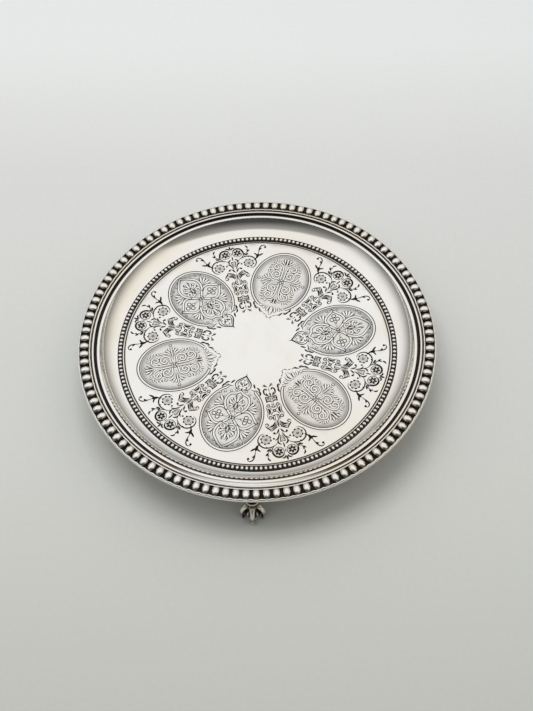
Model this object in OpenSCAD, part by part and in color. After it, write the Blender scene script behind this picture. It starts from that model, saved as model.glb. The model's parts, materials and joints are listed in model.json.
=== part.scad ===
// Round silver salver: an engraved flat, a curved wall, an applied border of reeds and large
// beads, a fine beaded wire round the flat, and three cast claw-and-ball feet.
// The origin is on the table under the centre of the plate, +Z is up, and one foot is on -Y.

/* [Plate] */
// Overall diameter, over the outer edge of the border
overall_d = 205; // [190:1:220]
// Height of the upper side of the flat above the table
flat_z = 21; // [20.5:0.5:24]
// Thickness of the raised sheet
plate_t = 1; // [0.8:0.1:1.2]
// Radius where the flat turns up into the curved wall
booge_r = 80.8; // [80:0.1:81]
// Horizontal run of the curved wall
booge_run = 9.1; // [8.9:0.1:9.3]
// Slope of the curved wall at its foot, in degrees
booge_foot_slope = 10; // [6:1:14]
// Slope of the curved wall at its top, in degrees
booge_top_slope = 64; // [60:1:66]
// Radius of the engraved line that runs round inside the beaded wire
line_r = 76.5; // [70:0.5:76.5]
// Depth of that line, which is twice as wide as it is deep
line_depth = 0.2; // [0.1:0.05:0.3]

/* [Border] */
// Height of the tops of the large beads above the table
overall_h = 31; // [31:0.5:36]
// Number of large beads
rim_beads_n = 114; // [100:1:116]
// Radius of one large bead
bead_r = 2.1; // [1.9:0.1:2.2]
// Width of the dark trough that the large beads sit in
trough_w = 5; // [4.8:0.1:5.4]
// Width of the plain lip outside the trough
lip_w = 1.1; // [0.9:0.1:1.3]
// Radius of the two reeds
reed_r = 0.8; // [0.6:0.1:0.9]

/* [Beaded wire] */
// Number of small beads round the flat
wire_beads_n = 191; // [150:1:192]
// Radius of one small bead
wire_bead_r = 1.05; // [0.9:0.05:1.1]
// Width of the flat strip that the small beads stand on
wire_strip_w = 3; // [2.6:0.1:3]

/* [Feet] */
// Distance of each ball from the centre of the salver
foot_r = 95.4; // [92:0.1:96]
// Radius of the ball
ball_r = 5; // [4.6:0.1:5.2]
// Depth of the worn flat on the underside of each ball
ball_flat = 0.15; // [0.1:0.05:0.3]
// Radius of one toe's section
toe_r = 1.45; // [1.2:0.05:1.6]
// Thickness of the mounting pad between the leg and the plate
pad_t = 1; // [0.8:0.1:1.4]

/* [Hidden] */
$fn = 96;
FOOT_NAMES = ["front", "right", "left"];
FOOT_AZ = [-90, 30, 150];

outer_r = overall_d / 2;
arc_steps = 10;

// The curved wall is one circular arc between its two slopes
booge_arc_r = booge_run / (sin(booge_top_slope) - sin(booge_foot_slope));
booge_cx = booge_r - booge_arc_r * sin(booge_foot_slope);
booge_cz = flat_z + booge_arc_r * cos(booge_foot_slope);
flange_z = booge_cz - booge_arc_r * cos(booge_top_slope);

// The border, from the outside in: lip, trough, inner wall, reeds
flange_r = outer_r - lip_w;
trough_out_r = outer_r - lip_w;
trough_in_r = trough_out_r - trough_w;
channel_wall = 1.1;
channel_in_r = trough_in_r - channel_wall;
trough_z = flange_z + 0.5;
channel_lip_z = flange_z + 1.5;
channel_in_z = flange_z + 2;
bead_row_r = (trough_out_r + trough_in_r) / 2;
bead_z = overall_h - bead_r;
moulding_in_r = booge_r + booge_run;
moulding_base = 0.4;
outer_reed_rise = 0.7;

wire_in_r = booge_r - 0.2 - wire_strip_w;
wire_strip_t = 0.3;

// Heights and places within one foot, measured from the centre line of its ball
ball_z = ball_r - ball_flat;
toe_ring_r = ball_r + 0.6;
toe_az = [0, 72, -72, 180];
toe_low = -40;
toe_high = 78;
paw_r = 4.7;
paw_z = 11.4;
ankle_z = 13;
collar_z = 18;
ankle_r = 3.2;
collar_r = 3.4;
leg_lean = -28;
leg_len = 12;
lobes = [[-4.2, 0, 5.2], [-8.6, 0, 3.4], [-3, 5.4, 3], [-3, -5.4, 3]];

// Points along a circular arc in the (radius, height) plane
function arc(c, r, a0, a1) = [
    for (i = [0 : arc_steps])
        let (a = a0 + (a1 - a0) * i / arc_steps)
        c + r * [cos(a), sin(a)]
];

// Slope at which the wall's arc, moved d below the upper side, reaches the level z
function slope_at(z, d) = acos((booge_cz - z) / (booge_arc_r + d));

// The plate's upper side moved down by d along its normal, from the centre to the flange's edge
function skin(d) = concat(
    [[0, flat_z - d]],
    arc([booge_cx, booge_cz], booge_arc_r + d,
        slope_at(flat_z - d, d) - 90, slope_at(flange_z - d, d) - 90),
    [[flange_r, flange_z - d]]
);

function reversed(v) = [for (i = [len(v) - 1 : -1 : 0]) v[i]];

// A layer that follows the plate, between depths d0 and d1 below its upper side
module skin_layer(d0, d1) {
    rotate_extrude() polygon(concat(skin(d0), reversed(skin(d1))));
}

// Everything above the skin at depth d
module above_skin(d) {
    top = overall_h + 10;
    rotate_extrude() polygon(concat(skin(d), [[flange_r, top], [0, top]]));
}

module below_table() {
    translate([-20, -20, -20]) cube([40, 40, 20]);
}

// Moves a child from the foot's own frame (+X outwards) to foot number i
module at_foot(i) {
    rotate(FOOT_AZ[i]) translate([foot_r, 0, 0]) children();
}

module tray_plate() {
    color("silver") difference() {
        skin_layer(0, plate_t);
        rotate_extrude() polygon([
            [line_r - 2 * line_depth, flat_z + line_depth],
            [line_r, flat_z - line_depth],
            [line_r + 2 * line_depth, flat_z + line_depth]
        ]);
    }
}

// Two reeds with a hollow between them, rising towards the beads
module reed_moulding() {
    r0 = moulding_in_r;
    r1 = channel_in_r;
    inner_c = [r0 + reed_r, flange_z + moulding_base];
    outer_c = [r1 - reed_r - 0.3, flange_z + moulding_base + outer_reed_rise];
    color("gainsboro") rotate_extrude() polygon(concat(
        [[r0, flange_z]],
        arc(inner_c, reed_r, 180, 20),
        arc(outer_c, reed_r, 160, 0),
        [[r1, outer_c[1] - 0.3], [r1, flange_z]]
    ));
}

// The trough under the large beads, with its inner wall and its outer lip
module bead_channel() {
    round_r = channel_wall / 2;
    in_c = [channel_in_r + round_r, channel_in_z - round_r];
    out_c = [outer_r - lip_w / 2, channel_lip_z - lip_w / 2];
    color("dimgray") rotate_extrude() polygon(concat(
        [[channel_in_r, flange_z]],
        arc(in_c, round_r, 180, 0),
        [[trough_in_r, trough_z], [trough_out_r, trough_z]],
        arc(out_c, lip_w / 2, 180, 0),
        [[outer_r, flange_z]]
    ));
}

module rim_beads() {
    color("white") for (i = [0 : rim_beads_n - 1])
        rotate(360 * i / rim_beads_n) translate([bead_row_r, 0, 0]) difference() {
            translate([0, 0, bead_z]) sphere(bead_r);
            translate([-5, -5, trough_z - 10]) cube([10, 10, 10]);
        }
}

// Half-round wire against the flange's edge, under the lip of the bead channel
module edge_wire() {
    half_h = plate_t / 2;
    flat_w = lip_w - half_h;
    color("silver") rotate_extrude() polygon(concat(
        [[flange_r, flange_z - plate_t]],
        arc([flange_r + flat_w, flange_z - half_h], half_h, -90, 90),
        [[flange_r, flange_z]]
    ));
}

// Small half-round beads on a thin strip that lies on the flat
module inner_bead_wire() {
    row_r = wire_in_r + wire_strip_w / 2;
    strip_top = flat_z + wire_strip_t;
    color("white") {
        translate([0, 0, flat_z]) rotate_extrude() translate([wire_in_r, 0])
            square([wire_strip_w, wire_strip_t]);
        for (i = [0 : wire_beads_n - 1])
            rotate(360 * i / wire_beads_n) translate([row_r, 0, strip_top]) difference() {
                sphere(wire_bead_r);
                translate([-2, -2, -4 - wire_strip_t / 2]) cube([4, 4, 4]);
            }
    }
}

// Four-lobed plate soldered to the underside of the wall and the flange
module foot_pad(i) {
    color("silver") intersection() {
        skin_layer(plate_t, plate_t + pad_t);
        at_foot(i) for (lobe = lobes)
            translate([lobe[0], lobe[1], flat_z - 5]) cylinder(h = 15, r = lobe[2]);
    }
}

// One toe: an arc of round section over the ball, ending in a talon at its lower end
module toe(az) {
    talon_len = 2;
    rotate(az) translate([0, 0, ball_z]) rotate([90, 0, 0]) rotate(toe_low) {
        rotate_extrude(angle = toe_high - toe_low) translate([toe_ring_r, 0]) circle(toe_r);
        translate([toe_ring_r, 0, 0]) rotate([90, 0, 0])
            cylinder(h = talon_len, r1 = toe_r, r2 = toe_r / 3);
    }
}

// Leg, paw and toes, cut to the ball, the pad and the table
module foot_claw(i) {
    color("lightgray") difference() {
        at_foot(i) {
            for (az = toe_az)
                toe(az);
            translate([0, 0, paw_z]) sphere(paw_r);
            translate([0, 0, ankle_z]) cylinder(h = collar_z - ankle_z, r = ankle_r);
            translate([0, 0, collar_z]) rotate_extrude() translate([collar_r - 0.6, 0]) circle(1);
            translate([0, 0, collar_z]) sphere(collar_r);
            translate([0, 0, collar_z]) rotate([0, leg_lean, 0]) cylinder(h = leg_len, r = collar_r);
        }
        at_foot(i) translate([0, 0, ball_z]) sphere(ball_r);
        above_skin(plate_t + pad_t);
        at_foot(i) below_table();
    }
}

module foot_ball(i) {
    color("silver") at_foot(i) difference() {
        translate([0, 0, ball_z]) sphere(ball_r);
        below_table();
    }
}

tray_plate();
reed_moulding();
bead_channel();
rim_beads();
edge_wire();
inner_bead_wire();
for (i = [0 : len(FOOT_NAMES) - 1]) {
    foot_pad(i);
    foot_claw(i);
    foot_ball(i);
}
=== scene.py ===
"""Looks of the silver salver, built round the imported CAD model.

Lengths of the object are in millimetres and become metres in new_piece(). The engraved flat is
real geometry: strokes are cut into it, or stand on it, in one 30 degree sector of each of the two
kinds of medallion, and the sectors are mirrored and repeated round the plate.
"""

import json
import math

import bmesh
import bpy
import numpy as np
from mathutils import Matrix, Vector
from mathutils.geometry import delaunay_2d_cdt


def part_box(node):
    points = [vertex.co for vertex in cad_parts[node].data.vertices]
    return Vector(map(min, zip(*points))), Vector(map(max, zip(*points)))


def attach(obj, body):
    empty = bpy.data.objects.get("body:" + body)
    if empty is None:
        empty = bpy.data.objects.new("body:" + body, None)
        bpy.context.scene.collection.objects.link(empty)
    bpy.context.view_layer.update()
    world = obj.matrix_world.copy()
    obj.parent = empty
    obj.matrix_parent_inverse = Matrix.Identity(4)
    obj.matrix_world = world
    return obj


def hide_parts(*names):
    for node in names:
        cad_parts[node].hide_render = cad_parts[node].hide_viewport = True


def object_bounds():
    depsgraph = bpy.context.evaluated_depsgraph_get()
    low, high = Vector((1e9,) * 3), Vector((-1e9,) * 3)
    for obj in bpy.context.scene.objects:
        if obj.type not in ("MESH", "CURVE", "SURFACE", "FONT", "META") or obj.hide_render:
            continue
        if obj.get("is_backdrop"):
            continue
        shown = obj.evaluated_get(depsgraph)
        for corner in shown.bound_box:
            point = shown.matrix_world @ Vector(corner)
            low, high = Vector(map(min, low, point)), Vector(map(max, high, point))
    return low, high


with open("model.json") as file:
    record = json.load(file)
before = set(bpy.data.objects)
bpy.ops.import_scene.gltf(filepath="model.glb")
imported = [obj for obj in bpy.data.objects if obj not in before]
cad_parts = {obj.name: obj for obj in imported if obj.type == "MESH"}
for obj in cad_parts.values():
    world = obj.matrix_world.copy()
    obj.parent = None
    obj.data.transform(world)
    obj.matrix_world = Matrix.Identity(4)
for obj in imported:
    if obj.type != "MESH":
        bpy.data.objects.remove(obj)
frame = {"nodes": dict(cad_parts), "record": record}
CAD_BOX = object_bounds()
MM = 0.001

# ---------------------------------------------------------------- sizes, from the frame


def node_box_mm(node):
    low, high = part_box(node)
    return np.array(low) / MM, np.array(high) / MM


MOUNTS = {m["name"]: m for m in frame["record"]["mounts"]}
FLAT_Z = MOUNTS["well_floor"]["pos_m"][2] / MM
FOOT_R = -MOUNTS["front_sole"]["pos_m"][1] / MM
TOP_Z = CAD_BOX[1].z / MM
OUTER_R = CAD_BOX[1].x / MM
FLANGE_R = node_box_mm("tray_plate")[1][0]
FLANGE_Z = node_box_mm("tray_plate")[1][2]
WIRE_OUT_R = node_box_mm("inner_bead_wire")[1][0]
MOULDING_OUT_R = node_box_mm("reed_moulding")[1][0]
BALL_R = (node_box_mm("front_foot_ball")[1] - node_box_mm("front_foot_ball")[0])[0] / 2
BALL_Z = node_box_mm("front_foot_ball")[1][2] - BALL_R

PLATE_T = 1.0
BOOGE_R = WIRE_OUT_R + 0.2
BOOGE_RUN = 9.1
# Degrees at the foot and the top of the curved wall: the CAD's, which the underside keeps, and the
# upper side's, whose reflections are nearer to the real salver's
BOOGE_SLOPES = (10, 64)
UPPER_SLOPES = (15, 59)
WIRE_W = 3.0
WIRE_T = 0.55
RIM_BEADS = 114
WIRE_BEADS = 191
LIP_W = 1.1
TROUGH_W = 5.3
FOOT_ANGLES = {"front": -90, "right": 30, "left": 150}

# The pattern: medallions every 60 degrees, two kinds in turn, with sprays between them
MEDALLION_ANGLE = -105.3
SECTOR = math.radians(30)
SECTOR_STEPS = 20
ROUND_STEPS = 12 * SECTOR_STEPS
FIELD_IN_R = 18.0
# The tarnished line round the flat, which starts where the engraved field ends. Its bottom and its
# outer edge are given as distances from LINE_R.
LINE_R = 76.5
FIELD_OUT_R = LINE_R - 0.35
LINE_BOTTOM = (-0.2, 0.45)
LINE_EDGE = 0.6
LINE_DEPTH = 0.1
LINE_DIRT = 0.55

# ---------------------------------------------------------------- meshes


def add_object(name, data):
    made = bpy.data.objects.new(name, data)
    bpy.context.scene.collection.objects.link(made)
    return made


def new_piece(
    name, verts, faces, finish, slot, replaces=(), sharp=35, face_data=None, vert_data=None
):
    """A mesh piece from arrays in millimetres, with optional attributes, riding the one body."""
    mesh = bpy.data.meshes.new(name)
    mesh.from_pydata((np.asarray(verts) * MM).tolist(), [], faces)
    for domain, data in (("FACE", face_data or {}), ("POINT", vert_data or {})):
        for key, values in data.items():
            attribute = mesh.attributes.new(key, "FLOAT", domain)
            attribute.data.foreach_set("value", np.asarray(values, np.float32))
    mesh.materials.append(finish)
    mesh.shade_smooth()
    mesh.set_sharp_from_angle(angle=math.radians(sharp))
    piece = add_object(name, mesh)
    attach(piece, "root")
    if replaces:
        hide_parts(*replaces)
    return piece


def arc(centre, radius, start, end, steps, squash=1):
    """Points on a circular arc, or on an ellipse's if it is squashed, angles in degrees."""
    x, y = centre
    angles = np.radians(np.linspace(start, end, steps + 1))
    return [(x + radius * math.cos(a), y + squash * radius * math.sin(a)) for a in angles]


def joined(parts):
    """The (vertices, faces) of several parts as one."""
    verts, faces = [], []
    count = 0
    for part, part_faces in parts:
        verts.append(np.asarray(part, float))
        faces += [tuple(count + k for k in face) for face in part_faces]
        count += len(part)
    return np.vstack(verts), faces


def turn_z(points, angle):
    """Points turned round Z by an angle in radians."""
    x = points[:, 0] * math.cos(angle) - points[:, 1] * math.sin(angle)
    y = points[:, 0] * math.sin(angle) + points[:, 1] * math.cos(angle)
    return np.column_stack([x, y, points[:, 2]])


def lathe(profile, steps=ROUND_STEPS, closed=True, ripple=None):
    """Turns a (radius, height) profile round Z. Points on the axis become one vertex each.
    ripple(radius, height, angle) gives the changes of radius and height of a scalloped surface."""
    verts, rings = [], []
    for r, z in profile:
        if r == 0:
            rings.append([len(verts)])
            verts.append((0, 0, z))
            continue
        rings.append(list(range(len(verts), len(verts) + steps)))
        for k in range(steps):
            a = 2 * math.pi * k / steps
            dr, dz = ripple(r, z, a) if ripple else (0, 0)
            verts.append(((r + dr) * math.cos(a), (r + dr) * math.sin(a), z + dz))
    faces = []
    pairs = list(zip(rings, rings[1:] + rings[:1] if closed else rings[1:]))
    for low, high in pairs:
        for k in range(steps):
            n = (k + 1) % steps
            if len(low) == 1 and len(high) == 1:
                break
            if len(low) == 1:
                faces.append((low[0], high[n], high[k]))
            elif len(high) == 1:
                faces.append((low[k], low[n], high[0]))
            else:
                faces.append((low[k], low[n], high[n], high[k]))
    return verts, faces


# ---------------------------------------------------------------- materials


def material(name):
    m = bpy.data.materials.new(name)
    m.use_nodes = True
    shader = m.node_tree.nodes["Principled BSDF"]
    return m, m.node_tree, shader


def node(tree, kind, inputs=None, **settings):
    """A shader node with its settings and its inputs, which are values or other nodes' outputs."""
    made = tree.nodes.new(kind)
    for key, value in settings.items():
        setattr(made, key, value)
    for key, value in (inputs or {}).items():
        if isinstance(value, bpy.types.NodeSocket):
            tree.links.new(value, made.inputs[key])
        else:
            made.inputs[key].default_value = value
    return made


def ramp(tree, fac, stops):
    """A colour ramp from (position, colour) stops, where a colour may be one grey value."""
    made = node(tree, "ShaderNodeValToRGB", {"Fac": fac})
    while len(made.color_ramp.elements) < len(stops):
        made.color_ramp.elements.new(0.5)
    for element, (position, colour) in zip(made.color_ramp.elements, stops):
        element.position = position
        rgb = (colour,) * 3 if isinstance(colour, (int, float)) else colour
        element.color = (*rgb, 1)
    return made.outputs["Color"]


def fade(tree, value, start, end):
    """0 up to start, 1 from end on, and a straight rise between."""
    return ramp(tree, value, [(start, 0.0), (end, 1.0)])


def mix(tree, fac, a, b, blend="MIX"):
    made = node(tree, "ShaderNodeMix", {"Factor": fac}, data_type="RGBA", blend_type=blend)
    for key, value in ((6, a), (7, b)):
        if isinstance(value, bpy.types.NodeSocket):
            tree.links.new(value, made.inputs[key])
        else:
            made.inputs[key].default_value = (*value, 1)
    return made.outputs[2]


def maths(tree, operation, a, b=0.0):
    made = node(tree, "ShaderNodeMath", {0: a, 1: b}, operation=operation)
    return made.outputs[0]


def noise(tree, place, scale, detail):
    made = node(tree, "ShaderNodeTexNoise", {"Vector": place, "Scale": scale, "Detail": detail})
    return made.outputs["Fac"]


def attribute(tree, name):
    return node(tree, "ShaderNodeAttribute", attribute_name=name).outputs["Fac"]


SILVER = (0.93, 0.915, 0.885)
WARM = (0.84, 0.76, 0.62)
BROWN = (0.16, 0.105, 0.05)
BLACK = (0.008, 0.0075, 0.007)
INK = (0.018, 0.016, 0.014)
SHADE = (0.10, 0.095, 0.09)
HATCH = (0.05, 0.047, 0.043)


def silver_material(name, colour=SILVER, roughness=0.1, wear=0.35, tarnish=0.0):
    """Polished silver: cloudy warm tarnish, wiped scratches, and black where its darkening attribute is
    high: packed tarnish on some pieces, painted shade on others.
    """
    m, tree, shader = material(name)
    place = node(tree, "ShaderNodeTexCoord").outputs["Object"]
    cloud = noise(tree, place, scale=45, detail=6)
    wiped = {"Vector": place, "Rotation": (0, 0, 0.7), "Scale": (1, 9, 1)}
    stretched = node(tree, "ShaderNodeMapping", wiped).outputs[0]
    hair = noise(tree, stretched, scale=900, detail=3)
    speck = noise(tree, place, scale=520, detail=4)
    broad = noise(tree, place, scale=9, detail=2)
    tint = maths(tree, "MULTIPLY", fade(tree, cloud, 0.45, 0.75), 0.25 + tarnish)
    tint = maths(tree, "MAXIMUM", tint, ramp(tree, broad, [(0.45, 0.0), (0.75, 0.6)]))
    clean = mix(tree, tint, colour, WARM)
    dirt = attribute(tree, "dirt")
    spots = maths(tree, "MULTIPLY", fade(tree, speck, 0.68, 0.76), 0.5 * wear)
    dirt = maths(tree, "MAXIMUM", dirt, spots)
    edge = mix(tree, fade(tree, dirt, 0.08, 0.4), clean, BROWN)
    black = fade(tree, dirt, 0.35, 0.7)
    tree.links.new(mix(tree, black, edge, BLACK), shader.inputs["Base Color"])
    tree.links.new(ramp(tree, dirt, [(0.3, 1.0), (0.7, 0.0)]), shader.inputs["Metallic"])
    shader.inputs["Specular IOR Level"].default_value = 0.2
    rough = maths(tree, "MULTIPLY", fade(tree, hair, 0.4, 0.8), 0.25 * wear)
    rough = maths(tree, "ADD", rough, roughness)
    rough = maths(tree, "ADD", rough, maths(tree, "MULTIPLY", dirt, 0.4))
    tree.links.new(rough, shader.inputs["Roughness"])
    bump = node(tree, "ShaderNodeBump", {"Strength": 0.05, "Distance": 0.0001, "Height": hair})
    tree.links.new(bump.outputs[0], shader.inputs["Normal"])
    return m


def floor_material():
    """A sweep of pale paper, a little darker and greener towards the front, which is painted shade
    where less light falls.
    """
    m, tree, shader = material("pale_paper")
    place = node(tree, "ShaderNodeTexCoord").outputs["Object"]
    depth = node(tree, "ShaderNodeSeparateXYZ", {0: place}).outputs["Y"]
    front_to_back = {"Value": depth, "From Min": -0.25, "From Max": 0.4}
    along = node(tree, "ShaderNodeMapRange", front_to_back).outputs[0]
    stops = [
        (0.05, (0.48, 0.49, 0.46)),
        (0.28, (0.56, 0.57, 0.545)),
        (0.62, (0.61, 0.62, 0.61)),
        (0.8, (0.70, 0.715, 0.715)),
    ]
    fibres = ramp(tree, noise(tree, place, scale=400, detail=4), [(0.3, 0.97), (0.7, 1)])
    paper = mix(tree, 1.0, ramp(tree, along, stops), fibres, "MULTIPLY")
    tree.links.new(paper, shader.inputs["Base Color"])
    shader.inputs["Roughness"].default_value = 0.9
    return m


# ---------------------------------------------------------------- camera and light

# Where the photograph was taken from: degrees, and millimetres from the middle of the flat
CAMERA_AZIMUTH = 4.55
CAMERA_ELEVATION = 56.55
CAMERA_DISTANCE = 732.7
CAMERA_AIM = (5.6, -5.6)
CAMERA_ROLL = -2.81
CAMERA_LENS = 64.2
CAMERA_SENSOR = 36

# These are in metres and watts
FLOOR_HALF = 12.0
KEY_PLACE = (-0.2, 0.3, 1.4)
KEY_SIZE = (1.0, 0.8)
KEY_POWER = 10


def make_camera():
    a, e = math.radians(CAMERA_AZIMUTH), math.radians(CAMERA_ELEVATION)
    back = Vector((math.sin(a) * math.cos(e), -math.cos(a) * math.cos(e), math.sin(e)))
    place = Vector((0, 0, FLAT_Z)) + back * CAMERA_DISTANCE
    aim = Vector((CAMERA_AIM[0], CAMERA_AIM[1], FLAT_Z))
    turn = (aim - place).to_track_quat("-Z", "Y").to_matrix().to_4x4()
    data = bpy.data.cameras.new("camera")
    data.lens = CAMERA_LENS
    data.sensor_width = CAMERA_SENSOR
    data.clip_start = 0.01
    camera = add_object("camera", data)
    camera.matrix_world = (
        Matrix.Translation(place * MM) @ turn @ Matrix.Rotation(math.radians(CAMERA_ROLL), 4, "Z")
    )
    bpy.context.scene.camera = camera


def make_key_light():
    """A large soft light overhead. It isn't seen in the silver, which reflects the dome alone."""
    data = bpy.data.lights.new("key", "AREA")
    data.shape = "RECTANGLE"
    data.size, data.size_y = KEY_SIZE
    data.energy = KEY_POWER
    lamp = add_object("key", data)
    lamp.location = KEY_PLACE
    lamp.rotation_euler = (-Vector(KEY_PLACE)).to_track_quat("-Z", "Y").to_euler()
    lamp.visible_glossy = False


def make_world():
    """A bright studio dome, creamy on the right, dark where the photographer stands, and plain
    pale to the camera."""
    world = bpy.data.worlds.new("studio")
    bpy.context.scene.world = world
    world.use_nodes = True
    tree = world.node_tree
    tree.nodes.clear()
    direction = node(tree, "ShaderNodeTexCoord").outputs["Generated"]
    split = node(tree, "ShaderNodeSeparateXYZ", {0: direction})
    up = split.outputs["Z"]
    dome = ramp(tree, up, [(0.0, 0.2), (0.3, 0.52), (0.58, 0.84), (0.75, 0.93)])
    right = ramp(tree, split.outputs["X"], [(0.2, 0.0), (0.7, 1.0)])
    dome = mix(tree, right, dome, (1.0, 0.965, 0.885), "MULTIPLY")
    towards = maths(tree, "MULTIPLY", split.outputs["Y"], -1.0)
    person = ramp(tree, towards, [(0.44, 0.0), (0.54, 0.6), (0.74, 0.76), (0.9, 0.98)])
    seen = mix(tree, person, dome, (0.055, 0.055, 0.056))
    is_camera = node(tree, "ShaderNodeLightPath").outputs["Is Camera Ray"]
    shown = mix(tree, is_camera, seen, (0.75, 0.755, 0.75))
    back = node(tree, "ShaderNodeBackground", {"Color": shown, "Strength": 1.0})
    out = node(tree, "ShaderNodeOutputWorld")
    tree.links.new(back.outputs[0], out.inputs["Surface"])


def make_floor():
    corners = [(FLOOR_HALF * x, FLOOR_HALF * y, 0) for x, y in ((-1, -1), (1, -1), (1, 1), (-1, 1))]
    mesh = bpy.data.meshes.new("floor")
    mesh.from_pydata(corners, [], [(0, 1, 2, 3)])
    mesh.materials.append(floor_material())
    add_object("floor", mesh)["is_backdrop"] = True


# ---------------------------------------------------------------- strokes of the engraving

# Cross-sections: share of the half-width, change of height, darkness (black well before 1)
LINE = np.array([(0, -0.16, 1.0), (1, 0, 0)])
BLOB = np.array([(0, -0.2, 1.0), (0.75, -0.16, 1.0), (1, 0, 0)])
RIDGE = np.array([(0, 0.2, 0.0), (0.52, 0.13, 0.0), (0.74, -0.08, 1.3), (1, 0, 0.0)])
BOSS = np.array([(0, 0.24, 0.0), (0.62, 0.14, 0.0), (0.8, -0.06, 1.3), (1, 0, 0.0)])
# A stroke's point is left uncut where its half-width is less than this
THIN = 0.04
# Spacing of the points along a line or ridge, a blob, and a disc's rings
STEP = 0.67
BLOB_STEP = 0.4
DISC_STEP = 0.6
# How much wider a cut line, and a ridge or boss, is than it is drawn
CUT_WEIGHT = 1.62
RIDGE_WEIGHT = 1.5
# Keeps a division by a length or a height finite
TINY = 1e-12


def spline(points, step=STEP):
    """A smooth curve through the points (Catmull-Rom), as points about one step apart."""
    p = np.array(points, float)
    if len(p) == 2:
        n = max(1, int(round(np.linalg.norm(p[1] - p[0]) / (2 * step))))
        return p[0] + (p[1] - p[0]) * np.linspace(0, 1, n + 1)[:, None]
    p = np.vstack([2 * p[0] - p[1], p, 2 * p[-1] - p[-2]])
    out = [p[1]]
    for a, b, c, d in zip(p, p[1:], p[2:], p[3:]):
        n = max(2, int(math.ceil(np.linalg.norm(c - b) / step)))
        square = 2 * a - 5 * b + 4 * c - d
        cube = 3 * b - a - 3 * c + d
        for t in np.linspace(0, 1, n + 1)[1:]:
            out.append(0.5 * (2 * b + (c - a) * t + square * t**2 + cube * t**3))
    return np.array(out)


def ring(centre, radius, start=0, end=360, step=STEP):
    """Points on a circular arc, angles in degrees, about one step apart."""
    n = max(8, int(math.radians(abs(end - start)) * radius / step))
    return np.array(arc(centre, radius, start, end, n))


def widths(n, half, taper):
    """Half-widths along a stroke of n points: pointed at both ends or at one, club-shaped like a
    leaf's lobe, or even."""
    s = np.linspace(0, 1, n)
    if taper == "both":
        return half * np.sin(np.pi * s) ** 0.7
    if taper == "lobe":
        return half * np.sin(np.pi * s**1.8) ** 0.6
    if taper == "end":
        return half * np.sqrt(1 - s)
    if taper == "start":
        return half * np.sqrt(s)
    return np.full(n, half)


class Stroke:
    """One stroke of the engraving: a centre line, its half-widths and its cross-section."""

    def __init__(self, points, half, section, taper):
        self.centre = points
        self.half = widths(len(points), half, taper)
        self.section = section
        along = np.gradient(points, axis=0)
        along /= np.linalg.norm(along, axis=1)[:, None] + TINY
        self.side = np.stack([-along[:, 1], along[:, 0]], 1)

    def mapped(self, turn):
        made = Stroke.__new__(Stroke)
        made.centre, made.side = self.centre @ turn.T, self.side @ turn.T
        made.half, made.section = self.half, self.section
        return made

    def rails(self):
        """The lines that the mesh follows: the centre line, and each edge of the cross-section."""
        yield self.centre
        for share in self.section[1:, 0]:
            for sign in (1, -1):
                yield self.centre + self.side * (self.half * share * sign)[:, None]

    def share_at(self, p):
        """For points p, the distance to the centre line as a share of the half-width there."""
        nearest = np.full(len(p), np.inf)
        share = np.full(len(p), np.inf)
        for a, b, wa, wb in zip(self.centre, self.centre[1:], self.half, self.half[1:]):
            d = b - a
            t = np.clip(((p - a) @ d) / (d @ d + TINY), 0, 1)
            away = np.linalg.norm(p - a - t[:, None] * d, axis=1)
            half = wa + (wb - wa) * t
            closer = away < nearest
            nearest[closer] = away[closer]
            ratio = np.where(half > THIN, away / np.maximum(half, THIN), np.inf)
            share[closer] = ratio[closer]
        return share


class Disc:
    """A round dot or boss, used like a stroke."""

    def __init__(self, centre, radius, section):
        self.centre = np.array([centre], float)
        self.half = np.array([radius])
        self.section = section

    def mapped(self, turn):
        return Disc((self.centre @ turn.T)[0], self.half[0], self.section)

    def rails(self):
        yield self.centre
        for share in self.section[1:, 0]:
            yield ring(self.centre[0], self.half[0] * share, step=DISC_STEP)

    def share_at(self, p):
        return np.linalg.norm(p - self.centre, axis=1) / self.half[0]


def line(points, half=0.22, taper="both"):
    return Stroke(spline(points), half * CUT_WEIGHT, LINE, taper)


def blob(points, half=0.45, taper="both"):
    return Stroke(spline(points, BLOB_STEP), half, BLOB, taper)


def dot(centre, radius):
    return Disc(centre, radius, BLOB)


def ridge(points, half=0.5, taper="none"):
    return Stroke(spline(points), half * RIDGE_WEIGHT, RIDGE, taper)


def boss(centre, radius):
    return Disc(centre, radius * RIDGE_WEIGHT, BOSS)


def circle_line(centre, radius, half=0.2, start=0, end=360):
    return Stroke(ring(centre, radius, start, end), half * CUT_WEIGHT, LINE, "none")


# Each motif is half drawn, in its own frame: (across its axis, along the radius of the plate)

SMALL_FLOWER = (3.75, 69.8)
LARGE_FLOWER = (9, 60.8)


def petal_directions(petals):
    """Unit vectors from a flower's centre along its petals."""
    angles = [2 * math.pi * (k + 0.5) / petals for k in range(petals)]
    return [np.array([math.cos(a), math.sin(a)]) for a in angles]


def small_flower(centre, petals=6):
    """Dark petals round a bright eye, in a thin ring."""
    centre = np.array(centre)
    out = []
    for u in petal_directions(petals):
        out.append(blob([centre + u * reach for reach in (0.4, 1.4, 2.5)], 0.66))
    return out + [circle_line(centre, 2.95, 0.15)]


def large_flower(centre, radius=2.9, petals=8):
    """A flower head with scalloped petals, dark at their tips."""
    centre = np.array(centre)
    out = []
    for u in petal_directions(petals):
        v = np.array([-u[1], u[0]])
        shoulder = centre + u * radius * 0.8
        out.append(blob([shoulder - v * 0.85, centre + u * radius, shoulder + v * 0.85], 0.42))
        out.append(line([centre + u * 0.9, centre + u * radius * 0.7], 0.14))
    return out + [circle_line(centre, 0.6, 0.14)]


def spray_tip():
    """The palmette at the spray's outer end."""
    return [
        blob([(0, 72.8), (0, 74.5), (0, 75.9)], 0.6),
        blob([(0.5, 72.3), (1, 73.6), (2.1, 74.2), (3, 73.7)], 0.48),
        line([(3, 73.7), (2.6, 72.9), (1.8, 72.9)], 0.2),
    ]


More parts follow.
